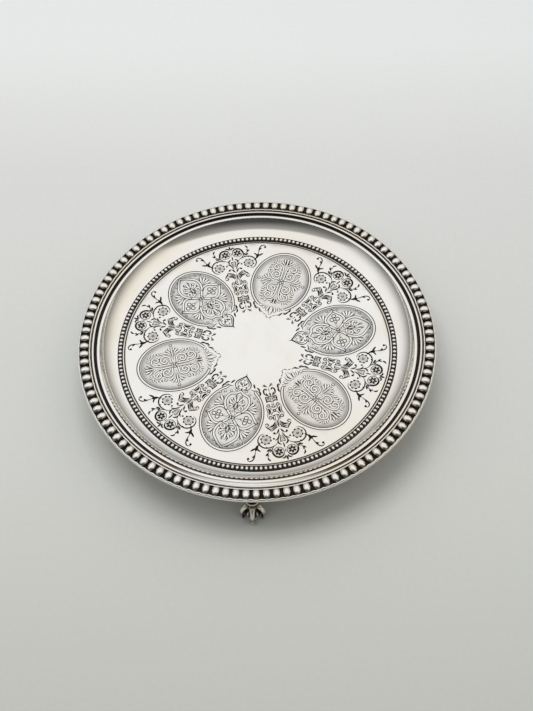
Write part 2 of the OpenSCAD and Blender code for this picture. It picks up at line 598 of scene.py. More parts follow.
def inner_spiral():
    """A spiral beside the axis, round a small flower."""
    spiral = [(4.3, 64.7), (6.9, 67.2), (7.3, 70), (6, 72.4)]
    spiral += [(3.9, 73.3), (1.9, 72.6), (1, 71), (1.2, 69.4)]
    return [line(spiral, 0.32)] + small_flower(SMALL_FLOWER)


def twig():
    """A leafy twig on the back of the inner spiral."""
    return [
        line([(6.9, 66.3), (8.2, 67.3), (9.6, 69.2), (10.3, 71.2), (10.3, 72.6)], 0.18),
        blob([(10.4, 71.7), (10.3, 73.1), (9.2, 74.5)], 0.5),
        blob([(9.8, 69.2), (10.7, 70), (11.6, 70.9)], 0.45),
        blob([(9.9, 69.3), (10.2, 70.4), (9.6, 71.4)], 0.45),
        blob([(7.9, 67), (9.2, 67.5), (10.4, 68.3)], 0.5),
        blob([(7.9, 67), (8, 68.2), (8.6, 69)], 0.38),
    ]


def side_spiral():
    """A wide spiral to the side, round a large flower."""
    spiral = [(2.8, 63.3), (4.3, 65.1), (6.5, 65.9), (9.1, 66.1), (11.5, 65.2)]
    spiral += [(13.2, 63), (13.5, 60.4), (12.3, 58.1), (10.3, 56.9), (8.4, 57.2)]
    leaf = blob([(8.2, 66.3), (9.3, 65.9), (10, 65)], 0.36)
    return [line(spiral, 0.32), leaf] + large_flower(LARGE_FLOWER)


def bellflower():
    """The bellflower at the side of the spray, with its long curl."""
    curl = [(16, 66), (16.9, 68.2), (17.7, 70), (19, 71.5)]
    curl += [(20.6, 71.8), (21.7, 70.9), (21.8, 69.9)]
    return [
        line([(12.9, 62.4), (14.4, 63.5)], 0.3, "none"),
        blob([(14, 62.9), (15.2, 64.6), (16.3, 66.6)], 0.8),
        blob([(14.8, 64.2), (14.7, 65.9), (13.4, 67.5)], 0.5),
        blob([(15, 64.6), (16.9, 65), (19.2, 65.8)], 0.58),
        line(curl, 0.28),
        dot((21.2, 70), 0.75),
        blob([(17, 68.5), (18, 69.5), (19.2, 69.7)], 0.5),
    ]


def tulip():
    """The bud on the axis, and the tulip with the leaves round it."""
    return [
        blob([(0, 64.3), (0, 66.3), (0, 68.1)], 0.4),
        line([(0, 67.9), (0, 71.6)], 0.16),
        line([(0.15, 59.3), (1.1, 61.9), (1.6, 64.2)], 0.2),
        line([(0, 63), (0.7, 63.9), (1.5, 63.4)], 0.18),
        blob([(2.3, 61.9), (2.8, 63.8), (2.1, 65), (0.9, 65.8)], 0.5),
        line([(0.5, 58), (1.6, 60.4), (2.4, 62.4)], 0.28),
        blob([(0.9, 59.6), (2.5, 61.6), (4.3, 62.5)], 0.42),
        dot((4.6, 61.2), 0.62),
        blob([(0.4, 55.6), (1.4, 57.4), (2.3, 58.5)], 0.45),
        line([(2, 58.2), (3.2, 58.4), (3.8, 57.6)], 0.25),
        dot((3.6, 57.8), 0.68),
    ]


def acanthus():
    """The acanthus leaf with its horn, and the stems down to the strapwork."""
    return [
        line([(0.5, 54.1), (2.2, 54.9), (3.8, 55.8), (5, 56.4)], 0.24),
        blob([(4.8, 56.5), (5.4, 55), (6.6, 53.6), (7.5, 52.1)], 0.42),
        line([(7.5, 52.3), (7, 51.2), (6, 51.1), (5.5, 52), (6.1, 52.6), (6.6, 52.2)], 0.26),
        line([(5.5, 52.7), (3.7, 53), (2.3, 52.1), (1.2, 50.4)], 0.3),
        blob([(0.7, 51), (2.2, 53.6), (5.2, 55.4)], 0.3),
        blob([(0.5, 52.2), (1.7, 54.2), (3.8, 55.4)], 0.26),
        blob([(1.3, 51), (3, 53.3), (6, 53.7)], 0.3),
        blob([(0, 49.8), (0, 52.2), (0, 54.8)], 0.4),
        line([(0.5, 51), (0.9, 48.9), (0.4, 46.8)], 0.2),
        line([(1.4, 50.2), (1.9, 48.4), (1.3, 46.8)], 0.26),
    ]


def strapwork():
    """Two volutes on a strap, a dark wedge between them and a ring on the axis."""
    strap = [(4.5, 47.6), (4.7, 46.4), (4.1, 45), (3.9, 43.6)]
    strap += [(4.1, 42.2), (4.3, 40.9), (3.8, 39.8)]
    return [
        line([(0, 46), (1, 46.8), (2.3, 46.6)], 0.3),
        circle_line((3.3, 47.7), 0.95, 0.2),
        dot((3.3, 47.7), 0.25),
        line(strap, 0.2),
        circle_line((2.7, 39.9), 0.9, 0.2),
        dot((2.7, 39.9), 0.25),
        blob([(3.6, 46), (2.9, 44.6), (2.7, 43.6), (2.9, 42.6), (3.6, 41.3)], 0.65),
        circle_line((0, 43.6), 0.75, 0.25),
        line([(0.7, 44.2), (1.9, 45.2), (2.5, 46.5)], 0.22),
        line([(0.7, 43), (1.9, 42.1), (2.4, 41)], 0.22),
        line([(0, 42), (0.9, 40.9), (2.1, 41.2)], 0.3),
    ]


def urn():
    """The urn at the inner end of the strapwork."""
    return [
        line([(0, 40.7), (0.55, 39.7), (0.3, 38.5)], 0.22),
        line([(0, 38.4), (1, 37.2), (2.2, 37), (3.3, 37.9)], 0.28),
        blob([(3.2, 37.9), (3, 36), (3.2, 34)], 0.4),
        line([(3.2, 34.1), (0, 34.1)], 0.2, "none"),
        circle_line((1.7, 35.2), 0.5, 0.16),
        line([(0.5, 37), (0.6, 34.4)], 0.16),
    ]


def fleur():
    """The small fleur that the spray starts from."""
    return [
        blob([(0, 33.9), (0, 32.8), (0, 31.5)], 0.5),
        blob([(1, 33.7), (1.8, 32.7), (2.1, 31.4)], 0.5),
        line([(2.1, 33.6), (3.1, 31.8), (3.2, 30), (2.5, 28.9), (1.6, 28.7), (1.1, 29.5)], 0.36),
        dot((1.5, 29.4), 0.5),
        line([(0, 31.6), (0, 27.8)], 0.16),
        blob([(0.3, 27.9), (1.7, 26.8), (3, 27.2)], 0.36),
        line([(0, 27.2), (0, 25.2)], 0.16),
        blob([(1.2, 26.6), (2, 26), (3, 26.3)], 0.28),
    ]


def spray():
    """The flowering spray between two medallions, from its tip inwards."""
    parts = (spray_tip, inner_spiral, twig, side_spiral, bellflower)
    parts += (tulip, acanthus, strapwork, urn, fleur)
    return [stroke for part in parts for stroke in part()]


def spray_tones():
    """Hatched areas of the spray: closed outlines and how dark each is."""
    cup = [(0, 59.5), (0.9, 62), (1.3, 63.5), (0.7, 63.7), (0, 63)]
    leaf = [(0.2, 50.6), (0.3, 54), (2.2, 54.7), (4.6, 55.9), (5.3, 54.7)]
    leaf += [(6.2, 53.2), (5.3, 52.9), (3.7, 53.2), (2.3, 52.3), (1.2, 50.7)]
    bowl = [(0, 34.2), (3, 34.2), (2.9, 37.4), (2.1, 36.8), (1, 37), (0, 38.1)]
    stem = [(0.1, 55), (1.2, 57), (1.8, 59.4), (2.3, 61.8), (1.5, 60.2), (0.6, 58)]
    drawn = ((cup, 0.7), (leaf, 0.4), (bowl, 0.62), (stem, 0.65))
    flowers = [(ring(LARGE_FLOWER, 2.85), 0.7), (ring(SMALL_FLOWER, 2.4), 0.5)]
    return flowers + [(np.array(outline), tone) for outline, tone in drawn]


# Radius on the plate of a medallion's middle, and the half-widths of its oval
MEDALLION_R = 48.5
OVAL = (17.6, 21.9)


def oval(share, start=90, end=-61, step=0.9):
    """Points on the medallion's oval, or on one inside it, from its outer end round to its cusp."""
    n = int(math.radians(abs(end - start)) * OVAL[1] * share / step)
    a = np.radians(np.linspace(start, end, n + 1))
    return np.stack([OVAL[0] * share * np.cos(a), MEDALLION_R + OVAL[1] * share * np.sin(a)], 1)


def medallion_frame():
    """The double border line of a medallion and the dark leaf sprigs beside its cusp."""
    out = [Stroke(oval(1), 0.32, LINE, "none"), Stroke(oval(0.93), 0.3, LINE, "none")]
    out += [blob([(11.3, 31.2), (10.9, 29.4), (9.7, 27.9)], 0.55)]
    out += [blob([(10.4, 28.6), (9.2, 26.9), (7.7, 26.4)], 0.5)]
    out += [blob([(7.3, 27.3), (6.4, 26), (5.5, 24.3)], 0.52)]
    return out


def flipped(points, sign):
    """Points given as (across, distance from the medallion's middle), put outwards or inwards."""
    return [(t, MEDALLION_R + sign * q) for t, q in points]


def palmette(sign):
    """Volutes, curled leaves and a bud on one stem, in the upper or lower petal of a quatrefoil."""
    out = [blob(flipped([(0.9, 5.8), (0.95, 8), (0.8, 9.6)], sign), 0.35)]
    out += [blob(flipped([(4.9, 9.2), (3.7, 8.7), (2.6, 8.8)], sign), 0.4)]
    out += [blob(flipped([(1.2, 15.4), (1.7, 13.9), (1.5, 12.4)], sign), 0.35)]
    out += [ridge(flipped([(0, 2.8), (0, 9.4)], sign), 0.36)]
    volute = [(0.4, 5), (1.6, 4.3), (3.2, 4.6), (4.3, 6)]
    volute += [(4, 7.5), (2.7, 7.9), (1.9, 6.9), (2.5, 6.1)]
    out += [ridge(flipped(volute, sign), 0.52)]
    out += [ridge(flipped([(0.3, 8.4), (1.8, 8.9), (3.6, 9.6), (4.4, 11.4)], sign), 0.7, "lobe")]
    out += [boss((3.3, MEDALLION_R + sign * 11.4), 0.62)]
    out += [ridge(flipped([(0.3, 9.6), (1.3, 11.2), (2.5, 13.4)], sign), 0.66, "lobe")]
    out += [ridge(flipped([(0, 9.8), (0, 12.2), (0, 15.2)], sign), 0.75, "both")]
    return out


def spandrel(sign):
    """A fan of lobes between two petals of a quatrefoil, with pellets along the oval's edge."""
    out = []
    for t, q in ((7.9, 13.6), (10.4, 12.7), (12.2, 10.6), (13.2, 8.2), (13, 5.7)):
        middle = (0.5 * (7.0 + t) - 0.15, 0.5 * (6.4 + q) + 0.35)
        out += [ridge(flipped([(7, 6.4), middle, (t, q)], sign), 0.72, "lobe")]
    for t, q in ((14.4, 3.2), (5.4, 16.4), (8.6, 15.4), (2.9, 18), (11.2, 14)):
        out += [boss((t, MEDALLION_R + sign * q), 0.55)]
    return out


def medallion_a():
    """Quatrefoil of four pointed petals with palmettes in and between them."""
    out = spandrel(1) + spandrel(-1) + palmette(1) + palmette(-1)
    for sign, tip in ((1, 19.6), (-1, 17.6)):
        petal = [(4.6, 4.6), (6.1, 7), (6.9, 10), (6.5, 12.6)]
        petal += [(4.9, 15), (2.4, tip - 1.9), (0, tip)]
        side = [(1.1, 1), (3.3, 3.4), (5.6, 5.1), (8, 5.6), (10.4, 4.4), (12.4, 2.1), (14.3, 0)]
        out += [ridge(flipped(side, sign), 0.62), ridge(flipped(petal, sign), 0.62)]
        out += [boss((0.95, MEDALLION_R + sign * 1.3), 0.42)]
    out += [blob([(0, MEDALLION_R - 1.3), (0, MEDALLION_R), (0, MEDALLION_R + 1.3)], 0.35)]
    out += [ridge([(2.6, MEDALLION_R), (5.2, MEDALLION_R)], 0.3)]
    for t in (6.9, 9.3):
        out += [dot((t, MEDALLION_R), 0.6)]
    for t, q, radius in ((6.2, 0, 0.7), (8, 1.75, 0.95), (8, -1.75, 0.95), (10.4, 0, 0.95)):
        out += [boss((t, MEDALLION_R + q), radius)]
    return out


def cusp_a():
    """Pointed shield with a small palmette, at the inner end of a quatrefoil medallion."""
    shield = [(0.6, 30.4), (2.6, 29.6), (4.2, 28.2), (4.5, 26.2)]
    shield += [(3.8, 24.4), (2, 22.6), (0, 20.6)]
    return [
        line(shield, 0.34, "start"),
        line([(2.6, 28), (3.3, 26.4), (2.8, 24.8), (1.5, 23.4), (0, 22.1)], 0.2),
        line([(0.6, 29.4), (1.8, 29.2), (2.6, 28.4), (2, 27.6), (1.3, 28.2)], 0.24),
        line([(4.9, 28.4), (6.8, 28.8), (8.8, 28.4), (10.3, 29.6)], 0.24),
        blob([(0.6, 27), (1.6, 25.9), (1.9, 24.6)], 0.4),
        blob([(0, 24.3), (0, 23.6), (0, 22.9)], 0.35),
        line([(0, 28.2), (0.7, 26.2), (0, 24.6)], 0.2),
    ]


def scrolls(sign):
    """A large and a small C-scroll with leaves on their backs, in one quarter of a medallion."""
    large = [(0.8, 1.2), (2.8, 1.9), (5.2, 2), (6.8, 3.8), (6.5, 6.2), (4.9, 7.4)]
    large += [(3, 6.9), (2.2, 5.4), (2.8, 4.1), (4.1, 3.9), (4.8, 4.9), (4.1, 5.7)]
    small = [(0.8, 1.6), (0.9, 5), (1, 8.4), (1.8, 11.4), (3.7, 12.9), (5.8, 12.4)]
    small += [(6.8, 10.8), (6.2, 9.2), (4.8, 8.8), (3.9, 9.8), (4.6, 10.7)]
    out = [ridge(flipped(large, sign), 0.55), ridge(flipped(small, sign), 0.52)]
    out += [dot((1.9, MEDALLION_R + sign * 9), 0.5), dot((5.8, MEDALLION_R + sign * 7.9), 0.42)]
    leaves = [
        [(7.2, 5.4), (8.8, 6.3), (9.6, 7.9)],
        [(7, 7.4), (8.6, 8.2), (10.2, 8.2)],
        [(7.3, 9.6), (8.9, 10), (10.2, 9.6)],
        [(7.1, 11.2), (8.4, 11.9), (9.8, 11.6)],
        [(6.4, 12.6), (7.3, 13.8), (8.7, 14.2)],
        [(4.4, 13.4), (5.6, 14.8), (5.9, 16.2)],
    ]
    return out + [ridge(flipped(leaf, sign), 0.6, "lobe") for leaf in leaves]


def side_fan(sign):
    """The leaves that spread from the cross towards the side of the oval."""
    out = []
    for t, q in ((12.6, 2), (11.4, 3.9), (9.6, 5.6)):
        middle = (0.5 * (5.6 + t) + 0.5, 0.4 * q)
        out += [ridge(flipped([(5.6, 0.5), middle, (t, q)], sign), 0.62, "lobe")]
    return out


def medallion_b():
    """Four pairs of C-scrolls round a small cross, with leafy fans on the axes."""
    out = []
    for sign, reach in ((1, 18.6), (-1, 16.6)):
        out += scrolls(sign) + side_fan(sign)
        out += [ridge(flipped([(0, 10.6), (0, 14), (0, reach)], sign), 0.7, "lobe")]
        out += [ridge(flipped([(0.4, 12.2), (1.2, 14.8), (2.4, reach - 0.8)], sign), 0.66, "lobe")]
        out += [ridge(flipped([(0.6, 12.2), (2.4, 14.2), (4.2, reach - 2.6)], sign), 0.6, "lobe")]
        out += [blob(flipped([(0.6, 12.8), (0.9, 14.4), (1.1, 16)], sign), 0.3)]
        out += [boss((0, MEDALLION_R + sign * 1.2), 0.55)]
    out += [boss((1.2, MEDALLION_R), 0.55), boss((13.6, MEDALLION_R), 0.7)]
    out += [ridge([(2.2, MEDALLION_R), (8, MEDALLION_R), (12.8, MEDALLION_R)], 0.5, "lobe")]
    return out


def cusp_b():
    """Scalloped leafy point at the inner end of a scrolled medallion."""
    out = []
    corners = [(0, 21.4), (1.7, 23.7), (3.6, 24.6), (5.4, 25.8), (7, 27.2), (8.9, 27.9), (10.8, 30)]
    for a, b in zip(corners, corners[1:]):
        middle = ((a[0] + b[0]) / 2 + 0.35, (a[1] + b[1]) / 2 - 0.35)
        out += [line([a, middle, b], 0.18)]
    feet = [(0, 30.5), (1.3, 30.2), (3.4, 30.2), (5.6, 30.2)]
    tips = [(0, 23.6), (2.4, 25.4), (5, 27), (7.6, 28.4)]
    for foot, tip in zip(feet, tips):
        middle = ((foot[0] + tip[0]) / 2 + 0.4, (foot[1] + tip[1]) / 2)
        out += [ridge([foot, middle, tip], 0.7, "both")]
    return out


# ---------------------------------------------------------------- the engraved sector

# In a sector the medallion's axis is at 0 and the spray's at 30 degrees. Each motif is turned so
# that its side lies towards the other's.
MEDALLION_TURN = np.array([[0, 1], [1, 0]])
SPRAY_TURN = np.array([[math.sin(SECTOR), math.cos(SECTOR)], [-math.cos(SECTOR), math.sin(SECTOR)]])
# Height of a medallion's matted ground, its edge as a share of the oval, and its edge in the cusp
GROUND_Z = -0.14
GROUND_SHARE = 0.9
GROUND_END = [(5.0, 29.3), (1.0, 30.2)]
# The ground is shaded from this share of the oval outwards, and the mesh has rings to carry it. The
# shade fades towards the cusp, between these radii on the plate.
SHADE_START = 0.74
SHADE_RINGS = (0.84, 0.77)
SHADE_FADE = (30, 40)
# Points nearer than this are one, and a sector ends this near its sides and its inner arc
MERGE = 1e-3
SIDE_GAP = 1e-5
ARC_GAP = 0.9995
# Shares of a stroke's half-width: what counts as cut, and as the bright top of a ridge
CUT_SHARE = 0.995
TOP_SHARE = 0.6


def inside(p, outline):
    """Which points p lie inside a closed outline."""
    hit = np.zeros(len(p), bool)
    for a, b in zip(outline, np.roll(outline, -1, axis=0)):
        crosses = (a[1] > p[:, 1]) != (b[1] > p[:, 1])
        at = (b[0] - a[0]) * (p[:, 1] - a[1]) / (b[1] - a[1] + TINY) + a[0]
        hit ^= crosses & (p[:, 0] < at)
    return hit


class Sheet:
    """Gathers constraint lines for one sector, triangulates them and finds each point's height."""

    def __init__(self):
        self.verts, self.edges, self.strokes, self.tones = [], [], [], []

    def add_line(self, points, closed=False):
        start = len(self.verts)
        self.verts += [Vector(p) for p in points]
        self.edges += [(start + k, start + k + 1) for k in range(len(points) - 1)]
        if closed:
            self.edges.append((start + len(points) - 1, start))

    def add(self, strokes, turn):
        for stroke in strokes:
            made = stroke.mapped(turn)
            self.strokes.append(made)
            for rail in made.rails():
                self.add_line(rail)

    def add_tones(self, tones, turn):
        for outline, value in tones:
            placed = outline @ turn.T
            self.tones.append((placed, value))
            self.add_line(placed, closed=True)


def mirror_side(points):
    """The same outline on the other side of its axis, so that a closed area crosses the axis."""
    return np.vstack([points, (points * (-1, 1))[::-1]])


def sector_sheet(motif, cusp, ground):
    """A sheet with one sector's border, the edge of its sunk ground, and all its strokes."""
    sheet = Sheet()
    inner, outer = (arc((0, 0), r, 0, 30, SECTOR_STEPS) for r in (FIELD_IN_R, FIELD_OUT_R))
    for border in (inner, outer, [inner[0], outer[0]], [inner[-1], outer[-1]]):
        sheet.add_line(border)
    sheet.add_line(ground, closed=True)
    for share in SHADE_RINGS:
        sheet.add_line(oval(share, end=-70, step=1.2) @ MEDALLION_TURN.T)
    sheet.add(medallion_frame() + motif() + cusp(), MEDALLION_TURN)
    sheet.add(spray(), SPRAY_TURN)
    sheet.add_tones(spray_tones(), SPRAY_TURN)
    return sheet


def triangulate(sheet):
    """Points and triangles of the sheet, without those that fill the hull outside the sector."""
    verts, _, faces, _, _, _ = delaunay_2d_cdt(sheet.verts, sheet.edges, [], 0, MERGE, False)
    p = np.array([tuple(v) for v in verts])
    tri = np.array(faces)
    centre = p[tri].mean(1)
    angle = np.arctan2(centre[:, 1], centre[:, 0])
    radius = np.linalg.norm(centre, axis=1)
    chord_r = FIELD_IN_R * math.cos(SECTOR / SECTOR_STEPS / 2)
    keep = (angle > SIDE_GAP) & (angle < SECTOR - SIDE_GAP)
    keep &= (radius > chord_r * ARC_GAP) & (radius < FIELD_OUT_R)
    used, index = np.unique(tri[keep], return_inverse=True)
    return p[used], index.reshape(-1, 3)


def within(points, stroke):
    """Which points are in the stroke's box, as indices."""
    reach = stroke.half.max() + 0.05
    low, high = stroke.centre.min(0) - reach, stroke.centre.max(0) + reach
    return np.where(((points > low) & (points < high)).all(1))[0]


def engrave(strokes, p, centre, low, matt):
    """Heights and inks of the points p, where low ones are on the sunk ground. Strokes that stand
    up are also polished: the triangles on them, by their centres, lose their matting."""
    height = np.where(low, GROUND_Z, 0.0)
    ink = np.zeros(len(p))
    for stroke in strokes:
        near = within(p, stroke)
        share = stroke.share_at(p[near])
        cut = share < CUT_SHARE
        base = np.where(low[near][cut], GROUND_Z, 0)
        shares, rises, inks = stroke.section.T
        height[near[cut]] = base + np.interp(share[cut], shares, rises)
        ink[near[cut]] = np.interp(share[cut], shares, inks)
        if stroke.section is RIDGE or stroke.section is BOSS:
            near = within(centre, stroke)
            matt[near[stroke.share_at(centre[near]) < TOP_SHARE]] = 0
    return height, ink


def make_sector(motif, cusp, mattness):
    """Points, heights, triangles and attributes of one 30 degree sector."""
    ground = mirror_side(np.vstack([oval(GROUND_SHARE), GROUND_END])) @ MEDALLION_TURN.T
    sheet = sector_sheet(motif, cusp, ground)
    p, tri = triangulate(sheet)
    centre = p[tri].mean(1)
    # points on the edge of the ground are moved a hair inwards, so that they count as inside it
    low = inside(p * 0.9999 + np.array([MEDALLION_R, 0]) * 0.0001, ground)
    matt = inside(centre, ground) * mattness
    height, ink = engrave(sheet.strokes, p, centre, low, matt)
    share = np.hypot(p[:, 1] / OVAL[0], (p[:, 0] - MEDALLION_R) / OVAL[1])
    shade = np.clip((share - SHADE_START) / (GROUND_SHARE - SHADE_START), 0, 1) * low
    shade *= np.clip((p[:, 0] - SHADE_FADE[0]) / (SHADE_FADE[1] - SHADE_FADE[0]), 0.2, 1)
    tone = np.zeros(len(tri))
    for outline, value in sheet.tones:
        tone[inside(centre, outline)] = value
    return {"p": p, "z": height, "tri": tri, "ink": ink, "shade": shade, "matt": matt, "tone": tone}


def whole_field():
    """The twelve sectors of the engraved field, as one set of arrays."""
    quatrefoil = make_sector(medallion_a, cusp_a, mattness=0.5)
    scrolled = make_sector(medallion_b, cusp_b, mattness=0.35)
    out = {key: [] for key in ("v", "tri", "ink", "shade", "matt", "tone")}
    count = 0
    for k in range(6):
        kind = scrolled if k % 2 else quatrefoil
        turn = math.radians(60 * k)
        rotation = np.array([[math.cos(turn), math.sin(turn)], [-math.sin(turn), math.cos(turn)]])
        for sign in (1, -1):
            p = (kind["p"] * (1, sign)) @ rotation
            out["v"].append(np.column_stack([p, kind["z"]]))
            # a mirrored sector's triangles are turned round, so that they still face up
            out["tri"].append((kind["tri"] if sign > 0 else kind["tri"][:, ::-1]) + count)
            for key in ("ink", "shade", "matt", "tone"):
                out[key].append(kind[key])
            count += len(p)
    return {key: np.concatenate(values) for key, values in out.items()}


# ---------------------------------------------------------------- the plate


def booge_arc(depth, slopes=BOOGE_SLOPES, steps=7):
    """The curved wall in profile, moved down by depth along its normal."""
    a0, a1 = (math.radians(s) for s in slopes)
    radius = BOOGE_RUN / (math.sin(a1) - math.sin(a0))
    cx = BOOGE_R - radius * math.sin(a0)
    cz = FLAT_Z + radius * math.cos(a0)
    first = math.acos((cz - FLAT_Z + depth) / (radius + depth))
    last = math.acos((cz - FLANGE_Z + depth) / (radius + depth))
    return [
        (cx + (radius + depth) * math.sin(s), cz - (radius + depth) * math.cos(s))
        for s in np.linspace(first, last, steps + 1)
    ]


def plate_shell():
    """The plate but for its engraved field: the line round it, the curved wall, the flange and the
    underside."""
    bottom = [(LINE_R + away, FLAT_Z - LINE_DEPTH) for away in LINE_BOTTOM]
    profile = [(FIELD_OUT_R, FLAT_Z), *bottom, (LINE_R + LINE_EDGE, FLAT_Z)]
    profile += booge_arc(0, UPPER_SLOPES, 12)
    profile += [(FLANGE_R, FLANGE_Z), (FLANGE_R, FLANGE_Z - PLATE_T)]
    profile += booge_arc(PLATE_T)[::-1]
    profile += [(r, FLAT_Z - PLATE_T) for r in (60, 40, 20, 0)]
    return lathe(profile, closed=False)


def make_plate(finish):
    """The raised plate in one closed mesh, its engraved field first."""
    field = whole_field()
    field["v"][:, 2] += FLAT_Z
    middle = lathe([(0, FLAT_Z), (9, FLAT_Z), (FIELD_IN_R, FLAT_Z)], closed=False)
    verts, faces = joined([(field["v"], field["tri"].tolist()), plate_shell(), middle])
    vert_data = {k: np.pad(field[k], (0, len(verts) - len(field[k]))) for k in ("ink", "shade")}
    face_data = {k: np.pad(field[k], (0, len(faces) - len(field[k]))) for k in ("matt", "tone")}
    away = np.abs(np.hypot(verts[:, 0], verts[:, 1]) - LINE_R)
    sunk = FLAT_Z - verts[:, 2]
    in_line = (away < LINE_EDGE - 0.1) & (sunk > LINE_DEPTH / 2) & (sunk < LINE_DEPTH * 2)
    vert_data["dirt"] = LINE_DIRT * in_line
    plate = new_piece(
        "tray_plate_engraved", turn_z(verts, math.radians(MEDALLION_ANGLE)), faces, finish,
        "engraved_plate", ["tray_plate"], 30, face_data, vert_data,
    )
    bm = bmesh.new()
    bm.from_mesh(plate.data)
    bmesh.ops.remove_doubles(bm, verts=bm.verts, dist=0.002 * MM)
    bmesh.ops.recalc_face_normals(bm, faces=bm.faces)
    bm.to_mesh(plate.data)
    bm.free()


def engraved_material():
    """The plate's silver: polished, with dark cuts, a matted ground and hatched areas."""
    m = silver_material("engraved_silver", roughness=0.06, wear=0.25, tarnish=0.2)
    tree = m.node_tree
    shader = tree.nodes["Principled BSDF"]
    polished = shader.inputs["Base Color"].links[0].from_socket
    rough = shader.inputs["Roughness"].links[0].from_socket
    place = node(tree, "ShaderNodeTexCoord").outputs["Object"]
    ink, shade, matt, tone = (attribute(tree, key) for key in ("ink", "shade", "matt", "tone"))
    grain = node(tree, "ShaderNodeTexVoronoi", {"Vector": place, "Scale": 3800}).outputs["Distance"]
    hatch_place = node(tree, "ShaderNodeMapping", {"Vector": place, "Rotation": (0, 0, 0.8)}).outputs[0]
    hatch = node(tree, "ShaderNodeTexWave", {"Vector": hatch_place, "Scale": 700, "Distortion": 0.6})
    lines = ramp(tree, hatch.outputs["Fac"], [(0.25, 0.0), (0.75, 1.0)])
    ground = ramp(tree, grain, [(0.1, (0.4, 0.39, 0.37)), (0.6, (0.8, 0.79, 0.76))])
    colour = mix(tree, matt, polished, ground)
    hatched = maths(tree, "ADD", maths(tree, "MULTIPLY", lines, 0.5), 0.4)
    shaded = maths(tree, "MULTIPLY", shade, hatched)
    colour = mix(tree, shaded, colour, SHADE)
    toned = maths(tree, "MULTIPLY", tone, lines)
    colour = mix(tree, toned, colour, HATCH)
    cut = fade(tree, ink, 0.05, 0.35)
    colour = mix(tree, cut, colour, INK)
    tree.links.new(colour, shader.inputs["Base Color"])
    dull = maths(tree, "MULTIPLY", matt, 0.3)
    dull = maths(tree, "MAXIMUM", dull, maths(tree, "MULTIPLY", cut, 0.4))
    dull = maths(tree, "MAXIMUM", dull, maths(tree, "MULTIPLY", toned, 0.4))
    tree.links.new(maths(tree, "ADD", rough, dull), shader.inputs["Roughness"])
    height = maths(tree, "MULTIPLY", grain, matt)
    stipple = node(tree, "ShaderNodeBump", {"Strength": 0.35, "Distance": 0.00008, "Height": height})
    tree.links.new(shader.inputs["Normal"].links[0].from_socket, stipple.inputs["Normal"])
    tree.links.new(stipple.outputs[0], shader.inputs["Normal"])
    return m


# ---------------------------------------------------------------- the border


def turned_piece(name, profile, finish, slot, replaces, dirt_and_shade_at, steps=ROUND_STEPS, ripple=None):
    """A turned piece of the border, with a function of radius, height and angle that says how black it
    is, from tarnish and painted shade.
    """
    verts, faces = lathe(profile, steps, ripple=ripple)
    dirt = [dirt_and_shade_at(r, z, 2 * math.pi * k / steps) for r, z in profile for k in range(steps)]
    new_piece(name, verts, faces, finish, slot, replaces, vert_data={"dirt": dirt})


def make_reeds(finish):
    """A wide low reed and a narrow one, with a dark hollow between them and a groove outside."""
    r0, z0 = BOOGE_R + BOOGE_RUN, FLANGE_Z
    wide, narrow, squash = 0.95, 0.66, 0.55
    groove_w = 0.6
    hollow_z, groove_z = z0 + 0.1, z0 + 0.5
    inner, outer = (r0 + wide, z0 + 0.35), (MOULDING_OUT_R - 0.7 - narrow, z0 + 0.75)
    profile = [(r0, z0)]
    profile += arc(inner, wide, 180, 0, 14, squash)
    profile += [(r0 + 2 * wide + 0.2, hollow_z), (outer[0] - narrow - 0.15, hollow_z)]
    profile += arc(outer, narrow, 200, 0, 12)
    profile += [(MOULDING_OUT_R - groove_w, groove_z), (MOULDING_OUT_R, groove_z), (MOULDING_OUT_R, z0)]

    def dirt_and_shade_at(r, z, a):
        # the hollow and the groove outside are black with tarnish and painted shade; the hollow is
        # nearly clean at the front, over about a quarter of the round, as a painted reflection of the
        # bright sky there
        painted_sky_fade = 0.1 + 0.9 * min(1, (1 + math.sin(a)) / 0.3)
        if r > outer[0] + narrow * 0.9:
            return 0.55
        if inner[0] + wide * 0.9 < r < outer[0] - narrow * 0.75 and z < outer[1] + 0.25:
            return 0.95 * painted_sky_fade
        return 0.0

    name = "reed_moulding_turned"
    turned_piece(name, profile, finish, "polished_silver", ["reed_moulding"], dirt_and_shade_at)


def make_channel(finish):
    """The trough under the beads. Between beads its inner wall swells out and its lip in."""
    out_r, in_r = OUTER_R - LIP_W, OUTER_R - LIP_W - TROUGH_W
    wall = in_r - MOULDING_OUT_R
    trough_z, lip_z, in_z = FLANGE_Z + 0.4, FLANGE_Z + 0.9, FLANGE_Z + 1.5
    wall_swell, lip_swell = (0.12, 0.1), (-0.25, 0.35)
    profile = [(in_r - wall, FLANGE_Z)]
    profile += arc((in_r - wall / 2, in_z - wall / 2), wall / 2, 180, 0, 8)
    profile += [(in_r, trough_z), (out_r, trough_z)]
    profile += arc((OUTER_R - LIP_W / 2, lip_z - LIP_W / 2), LIP_W / 2, 180, 0, 8)
    profile += [(OUTER_R, FLANGE_Z)]

    def scallop(r, z, a):
        if z < trough_z + 0.3:
            return 0, 0
        between = 0.5 - 0.5 * math.cos(RIM_BEADS * a)
        dr, dz = wall_swell if r < in_r + 0.1 else lip_swell
        return dr * between, dz * between

    def dirt_and_shade_at(r, z, a):
        """Black in the trough and at the foot of its sides, and brown further up them: oxide and
        painted shade between the beads.
        """
        in_trough = in_r - 0.01 < r < out_r + 0.3 and FLANGE_Z + 0.3 < z < in_z - 0.3
        if in_trough:
            up_the_wall = r < in_r + 0.2 and z > trough_z + 0.1
            return 0.3 if up_the_wall else 1.0
        return 0.5 if out_r < r < out_r + 0.5 else 0.0

    name, steps = "bead_channel_scalloped", RIM_BEADS * 8
    turned_piece(name, profile, finish, "oxidised_silver", ["bead_channel"], dirt_and_shade_at, steps, scallop)


# Half-sizes of the beads: across the border, round it, and up
RIM_BEAD = (3.0, 2.24, 2.35)
WIRE_BEAD = (1.08, 0.93, 0.8)
# How much a bead's size and its turn vary, as shares of its size and in radians
BEAD_GROWTH = 0.03
BEAD_TILT = 0.06
